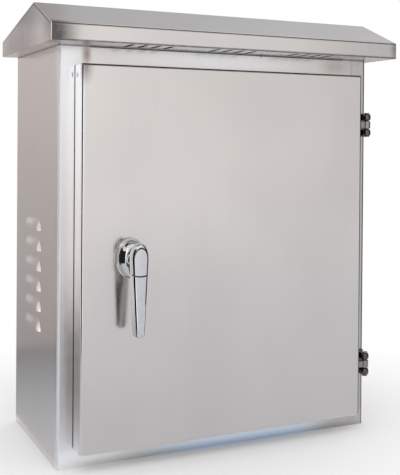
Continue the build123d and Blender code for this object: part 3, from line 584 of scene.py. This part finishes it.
def piece(name, form, body, node, material):
    """Hand a form over as a piece that rides on a body and stands for a node."""
    bmesh.ops.recalc_face_normals(form, faces=form.faces)
    mesh = bpy.data.meshes.new(name)
    form.to_mesh(mesh)
    form.free()
    mesh.shade_smooth()
    mesh.set_sharp_from_angle(angle=SHARP_ANGLE)
    mesh.materials.append(material)
    made = bpy.data.objects.new(name, mesh)
    bpy.context.scene.collection.objects.link(made)
    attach(made, body)
    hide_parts(node)
    print(name, len(mesh.polygons), "faces on", body)


print("rings of", TURN, "points")

# %% [markdown]
# ## Nuts, bolts, studs and screws
# A real nut is a hexagon cut by a cone at both ends, so each flat ends in a curved edge. Here every
# ring takes the smaller of the hexagon's and the cone's radius, which gives that edge by itself. A
# thread is a radius that rises and falls once per pitch and lags by one pitch per turn, so it winds
# up the stud as a true helix. The cable plate's and the hinges' screws have hexagon sockets.


# %% Hexagons and threads
CHAMFER_SHARE, CONE_SHARE, CONE_SLOPE = 0.058, 0.48, 1.73
STEPS_PER_PITCH, THREAD_DEPTH_SHARE, TIP_SHARE = 8, 0.6, 0.8


def hexagon(flats, cone=None):
    """Rule for a six-sided ring, cut by a cone where one is given."""

    def radius(angle):
        reach = flats / 2 / cos(angle % (pi / 3) - pi / 6)
        return reach if cone is None else min(reach, cone)

    return radius


def chamfered(flats, low, high, lower=True, upper=True):
    """Profile of a hexagon between two heights, with a cone at its free ends."""
    depth = flats * CHAMFER_SHARE
    shares = (0, 0.25, 0.5, 0.75, 1)
    cones = [flats * CONE_SHARE + depth * share * CONE_SLOPE for share in shares]
    rows = [(hexagon(flats, cone), low + depth * share) for cone, share in zip(cones, shares)]
    tops = [(hexagon(flats, cone), high - depth * share) for cone, share in zip(cones, shares)]
    start = rows if lower else [(hexagon(flats), low)]
    return start + (tops[::-1] if upper else [(hexagon(flats), high)])


def threaded(radius, low, high, pitch):
    """Profile of a thread between two heights, tapered at its far end."""
    rows = []
    count = int((high - low) / pitch * STEPS_PER_PITCH)
    for step in range(count + 1):
        height = low + (high - low) * step / count
        crest = min(radius, radius * TIP_SHARE + high - height)

        def rule(angle, height=height, crest=crest):
            turn = (height / pitch - angle / (2 * pi)) % 1
            return crest - pitch * THREAD_DEPTH_SHARE * abs(turn * 2 - 1) * crest / radius

        rows.append((rule, height))
    return rows


print("threads of", STEPS_PER_PITCH, "rings a pitch")

# %% Nuts
MOUTH_SHARE = 1.12
nut_rows = (
    ("mounting_nuts", "cabinet", 1, 4.0),
    ("earth_nut", "cabinet", 2, 3.0),
    ("roof_nuts", "cabinet", 2, 3.0),
    ("hinge_frame_nuts", "cabinet", 1, 2.5),
    ("hinge_door_nuts", "door", 0, 2.0),
    ("door_earth_nut", "door", 1, 3.0),
    ("lock_nut", "door", 1, 10.0),
)
for node, body, axis, thread in nut_rows:
    form = bmesh.new()
    for box in solids_of(node):
        size = box[1] - box[0]
        flats, height = min(size[k] for k in range(3) if k != axis), size[axis]
        bore, mouth = thread * MM, thread * MM * MOUTH_SHARE
        inside = [(mouth, height), (bore, height - mouth + bore), (bore, mouth - bore), (mouth, 0)]
        skin(form, rings_on(box, axis, False, chamfered(flats, 0, height) + inside), True)
    piece(node + "_chamfered", form, body, node, finishes[slot_of_node[node]])

# %% Studs and hexagon bolts
FOOT_SHARE, FOOT_RISE, STEP_CHAMFER = 0.94, 0.3 * MM, 0.5 * MM
stud_rows = (
    ("mounting_studs", "cabinet", 1, True, 7.0, 22.0, 4.0, 1.25),
    ("earth_stud", "cabinet", 2, False, 6.5, 6.0, 3.0, 1.0),
    ("door_earth_stud", "door", 1, False, 6.5, 6.0, 3.0, 1.0),
)
for node, body, axis, flip, shoulder, step_height, thread, pitch in stud_rows:
    form = bmesh.new()
    for box in solids_of(node):
        length = (box[1] - box[0])[axis]
        wide, step_up = shoulder * MM, step_height * MM
        foot = [(wide * FOOT_SHARE, 0), (wide, FOOT_RISE)]
        foot += [(wide, step_up - STEP_CHAMFER), (wide - STEP_CHAMFER, step_up)]
        winding = threaded(thread * MM, step_up, length, pitch * MM)
        skin(form, rings_on(box, axis, flip, foot + winding), False)
    piece(node + "_threaded", form, body, node, finishes[slot_of_node[node]])

bolt_rows = (
    ("roof_bolts", "cabinet", 2, False, 10.0, 4.0, 3.0, 1.0),
    ("cam_screw", "handle", 1, True, 8.8, 3.0, 2.5, 0.8),
)
for node, body, axis, flip, flats, head, thread, pitch in bolt_rows:
    form = bmesh.new()
    for box in solids_of(node):
        length = (box[1] - box[0])[axis]
        top = chamfered(flats * MM, 0, head * MM, upper=False)
        winding = threaded(thread * MM, head * MM, length, pitch * MM)
        skin(form, rings_on(box, axis, flip, top + winding), False)
    piece(node + "_threaded", form, body, node, finishes[slot_of_node[node]])

# %% Socket screws
DOME_SHARES, DOME_DROP = (0.62, 0.75, 0.88, 0.96, 1.0), 0.6
SEAT_SHARE, SEAT_START = 0.96, 0.92
WELL_SHARE, WELL_START, RIM_SHARE, RIM_DEPTH = 0.6, 0.85, 1.1, 0.15 * MM
screw_rows = (
    ("gland_screws", "cabinet", 2, True, 4.6, 3.0, 3.0, 1.7, 2.5, 0.8),
    ("hinge_door_screws", "door", 0, True, 3.6, 1.2, 2.5, 0.8, 2.0, 0.7),
)
for node, body, axis, flip, wide, head, socket, depth, thread, pitch in screw_rows:
    form = bmesh.new()
    for box in solids_of(node):
        length = (box[1] - box[0])[axis]
        well = [(hexagon(socket * MM * WELL_SHARE), depth * MM)]
        well += [(hexagon(socket * MM), depth * MM * WELL_START)]
        rim = [(hexagon(socket * MM), RIM_DEPTH), (hexagon(socket * MM * RIM_SHARE), 0)]
        dome = []
        for share in DOME_SHARES:
            drop = 1 - (1 - ((share - 0.5) * 2) ** 3) ** 0.5
            dome.append((wide * MM * share, head * MM * DOME_DROP * drop))
        seat = [(wide * MM, head * MM * SEAT_START), (wide * MM * SEAT_SHARE, head * MM)]
        winding = threaded(thread * MM, head * MM, length, pitch * MM)
        skin(form, rings_on(box, axis, flip, well + rim + dome + seat + winding), False)
    piece(node + "_socketed", form, body, node, finishes[slot_of_node[node]])

# %% [markdown]
# ## Rubber
# The door closes on a black rubber ring with two lips and a shallow valley between them, so that it
# seals twice. The cable plate lies on a flat ring that bulges a little at its edges where the screws
# squeeze it, and so does the oval seal under the lock. Three cable grommets snap into the plate with
# a groove between two rounded lips.


# %% Rings of rubber
CORNER_STEPS = 10
LEAST_CORNER = 0.3 * MM


def frame_loop(box, axis, inset, corner, height):
    """Rounded rectangle inside a box and square to an axis, at a height above the box's low side."""
    low, high = box
    first, second = (k for k in range(3) if k != axis)
    radius = max(corner - inset, LEAST_CORNER)
    loop = []
    for quarter in range(4):
        right_side, upper_side = quarter in (0, 3), quarter in (0, 1)
        for step in range(CORNER_STEPS + 1):
            angle = (quarter + step / CORNER_STEPS) * pi / 2
            place = Vector((0, 0, 0))
            middle_1 = high[first] - inset - radius if right_side else low[first] + inset + radius
            middle_2 = high[second] - inset - radius if upper_side else low[second] + inset + radius
            place[first] = middle_1 + radius * cos(angle)
            place[second] = middle_2 + radius * sin(angle)
            place[axis] = low[axis] + height
            loop.append(place)
    return loop


ring_rows = (
    (
        "door_gasket", "door", 1, 6.0, seal_rubber,
        ((0, 0), (0, 0.5), (0.4, 1.0), (1.3, 1.5), (2.6, 1.7), (3.8, 1.5), (4.6, 1.15), (5.4, 1.15),
         (6.2, 1.5), (7.4, 1.7), (8.7, 1.5), (9.6, 1.0), (10, 0.5), (10, 0)),
    ),
    (
        "gland_gasket", "cabinet", 2, 6.0, finishes["black_rubber"],
        ((0.5, 0), (0.1, 0.4), (0, 1), (0.1, 1.6), (0.5, 2), (12.5, 2), (12.9, 1.6), (13, 1),
         (12.9, 0.4), (12.5, 0)),
    ),
)
for node, body, axis, corner, rubber, profile in ring_rows:
    form = bmesh.new()
    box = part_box(node)
    loops = [frame_loop(box, axis, inset * MM, corner * MM, height * MM) for inset, height in profile]
    skin(form, loops, True)
    piece(node + "_moulded", form, body, node, rubber)


# %% Lock seal and grommets
def oval(inset, thick_share):
    """Rule for the lock seal's edge, drawn in by an inset, with its height."""
    low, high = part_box("lock_seal")
    tall, wide = (high.z - low.z) / 2 - inset, (high.x - low.x) / 2 - inset

    def radius(angle):
        return tall * wide / ((wide * cos(angle)) ** 2 + (tall * sin(angle)) ** 2) ** 0.5

    return radius, (high.y - low.y) * thick_share


form = bmesh.new()
bore, bulge, flare = 10.3 * MM, 0.3 * MM, 0.2 * MM
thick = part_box("lock_seal")[1].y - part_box("lock_seal")[0].y
edge = [oval(bulge, 0), oval(0, 0.3), oval(0, 0.7), oval(bulge, 1)]
hole = [(bore + flare, thick), (bore, thick * 0.8), (bore, thick * 0.2), (bore + flare, 0)]
skin(form, rings_on(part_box("lock_seal"), 1, False, edge + hole), True)
piece("lock_seal_moulded", form, "door", "lock_seal", finishes["black_rubber"])

grommet_profile = (
    (8.0, 0.6), (8.2, 0.2), (8.8, 0), (13.0, 0), (13.7, 0.2), (14.0, 0.7), (14.0, 1.6), (13.8, 2.05),
    (13.4, 2.2), (10.9, 2.2), (10.9, 3.7), (13.4, 3.7), (13.8, 3.85), (14.0, 4.3), (13.8, 4.9),
    (13.0, 5.4), (11.5, 5.8), (9.6, 5.9), (8.6, 5.75), (8.1, 5.4), (8.0, 4.9),
)
for side in ("left", "middle", "right"):
    node = f"cable_grommet_{side}"
    form = bmesh.new()
    profile = [(radius * MM, height * MM) for radius, height in grommet_profile]
    skin(form, rings_on(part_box(node), 2, False, profile), True)
    piece(f"grommet_{side}_moulded", form, "cabinet", node, finishes["black_rubber"])

# %% [markdown]
# ## Studio
# The photograph has a white background and even, soft light. Bare metal shows the room, so the
# greys on the cabinet come from cards round it. Pale cards stand in front and lie on the floor. Grey
# ones stand behind, for the left wall, the gable and the roof. Dark ones overhead, at both sides and
# behind at the right outline the door's top edge, the chrome and the hood's right end. Three small
# bright ones, at the left, in front and on the floor at the right, add highlights. Only reflections
# see the cards, and reflections don't see the lamp. The world is white for the camera and for
# reflections, and the floor fades to the same white further out, so that no horizon shows.


# %% Floor, world and lamp
def stage_sheet(name, origin, right_edge, upper_edge, material):
    """Flat sheet of the studio; its own X and Y run from 0 to 1 along two edges."""
    mesh = bpy.data.meshes.new(name)
    mesh.from_pydata([(0, 0, 0), (1, 0, 0), (1, 1, 0), (0, 1, 0)], [], [(0, 1, 2, 3)])
    sheet = bpy.data.objects.new(name, mesh)
    first, second = Vector(right_edge), Vector(upper_edge)
    turn = Matrix((first, second, first.cross(second).normalized())).transposed().to_4x4()
    sheet.matrix_world = Matrix.Translation(origin) @ turn
    sheet.data.materials.append(material)
    bpy.context.scene.collection.objects.link(sheet)
    return sheet


FLOOR_SIZE, FADE_START, FADE_END = 16.0, 0.1, 0.6
DUST_SCALE = (40, 40, 40)
floor_material, floor_finish = new_material("studio_floor")
spread = floor_finish.vector("SUBTRACT", floor_finish.place(), (0.5, 0.5, 0))
distance = floor_finish.vector("LENGTH", spread, output="Value") * FLOOR_SIZE
dust = floor_finish.noise(floor_finish.place(), DUST_SCALE, 2.0)
floor_colour = floor_finish.mix(dust, (0.965, 0.965, 0.965, 1), (0.985, 0.985, 0.985, 1))
paper = floor_finish.add("ShaderNodeBsdfPrincipled", {}, {"Base Color": floor_colour, "Roughness": 0.9})
white = floor_finish.add("ShaderNodeEmission", {}, {"Color": (1, 1, 1, 1), "Strength": 1.0})
far = floor_finish.fade(distance, FADE_START, FADE_END)
blended = floor_finish.add("ShaderNodeMixShader", {}, {0: far, 1: paper, 2: white})
floor_finish.add("ShaderNodeOutputMaterial", {}, {"Surface": blended})
floor_corner = (-FLOOR_SIZE / 2, -FLOOR_SIZE / 2, 0)
stage_sheet("studio_floor", floor_corner, (FLOOR_SIZE, 0, 0), (0, FLOOR_SIZE, 0), floor_material)

world = bpy.data.worlds.new("studio")
world.use_nodes = True
bpy.context.scene.world = world
sky = Finish(world.node_tree)
AMBIENT = 0.84
kinds = ("Camera", "Glossy", "Transmission")
rays = [sky.add("ShaderNodeLightPath", output=f"Is {kind} Ray") for kind in kinds]
strength = sky.fade(sum(rays), 0.0, 1.0) * (1 - AMBIENT) + AMBIENT
background = sky.add("ShaderNodeBackground", {}, {"Color": (1, 1, 1, 1), "Strength": strength})
sky.add("ShaderNodeOutputWorld", {}, {"Surface": background})

LAMP_PLACE, LAMP_TARGET = Vector((-0.6, -1.6, 1.95)), Vector((0, 0, 0.25))
LAMP_SIZE, LAMP_WATTS = 2.2, 13
lamp = bpy.data.lights.new("soft_box", "AREA")
lamp.shape = "RECTANGLE"
lamp.size, lamp.size_y = LAMP_SIZE, LAMP_SIZE
lamp.energy = LAMP_WATTS
soft_box = bpy.data.objects.new("soft_box", lamp)
soft_box.location = LAMP_PLACE
aim = LAMP_TARGET - LAMP_PLACE
soft_box.rotation_euler = aim.to_track_quat("-Z", "Y").to_euler()
soft_box.visible_glossy = False
bpy.context.scene.collection.objects.link(soft_box)
print("floor, world and lamp ready")


# %% Cards that only reflections see
WHITE, WARM, COOL = (1, 1, 1), (1, 0.93, 0.915), (0.97, 0.985, 1.03)
BLACK = 0.02


def card(name, origin, right_edge, upper_edge, levels, tint=WHITE):
    """Glowing card; levels is one level, or lower left, lower right, upper left and upper right."""
    material, finish = new_material(name)
    place = finish.place()
    u, v = finish.along(place, "X"), finish.along(place, "Y")
    corners = levels if isinstance(levels, tuple) else (levels,) * 4
    low_left, low_right, high_left, high_right = corners
    low = u * (low_right - low_left) + low_left
    high = u * (high_right - high_left) + high_left
    glow = finish.vector("MULTIPLY", low + (high - low) * v, tint)
    light = finish.add("ShaderNodeEmission", {}, {"Color": glow, "Strength": 1.0})
    finish.add("ShaderNodeOutputMaterial", {}, {"Surface": light})
    sheet = stage_sheet(name, origin, right_edge, upper_edge, material)
    sheet.visible_camera = False
    sheet.visible_diffuse = False
    sheet.visible_shadow = False
    sheet.visible_transmission = False


card("front_card", (2.56, -2.08, 0), (-2.62, -1.22, 0), (0, 0, 1.3), (0.66, 1.14, 0.66, 1.14))
card("front_floor_card", (-0.9, -2.6, 0.002), (3.2, 0, 0), (0, 2.45, 0), (1.06, 0.82, 0.74, 0.64), COOL)
card("left_back_card", (-0.75, 0.5, 0), (0.95, 0, 0), (0, 0, 0.56), (0.41, 0.41, 0.70, 0.70), WARM)
card("gable_card", (-0.75, 0.5, 0.56), (0.75, 0, 0), (0, 0, 0.7), 0.40, WARM)
card("left_floor_card", (-0.8, -0.25, 0.002), (0.595, 0, 0), (0, 0.75, 0), (0.76, 0.76, 0.26, 0.26), COOL)
card("roof_card", (-0.9, 1.35, 1.0), (3.0, 0, 0), (0, 0.5, 1.4), (0.40, 0.65, 0.40, 0.65), COOL)
card("over_card", (-0.65, -1.0, 1.7), (2.4, 0, 0), (0, 0.7, 0), 0.25)
card("high_left_card", (-1.6, -0.7, 1.7), (0.95, 0, 0), (0, 1.2, 0), 0.03)
card("left_dark_card", (-0.54, -0.66, 0), (-0.24, 0.51, 0), (0, 0, 0.55), BLACK)
card("left_dark_card_2", (-0.78, -0.15, 0), (0.025, 0.21, 0), (0, 0, 0.55), BLACK)
card("left_bright_card", (-0.75, 0.08, 0), (0.04, 0.06, 0), (0, 0, 0.45), (2.6, 2.6, 0.3, 0.3))
card("edge_card", (-0.30, -0.86, 0), (-0.24, 0.15, 0), (0, 0, 0.8), (1.0, 1.8, 1.0, 1.8))
card("right_dark_card", (0.75, -0.66, 0), (0, 0.60, 0), (0, 0, 1.2), BLACK)
card("right_back_card", (0.42, 0.55, 0.30), (0.38, 0, 0), (0, 0, 0.17), 0.12)
card("right_dark_floor_card", (0.55, -0.26, 0.003), (0.2, 0, 0), (0, 0.2, 0), BLACK)
card("right_floor_card", (0.50, -0.40, 0.003), (0.45, -0.22, 0), (0.06, 0.12, 0), 1.5)
print("cards ready")
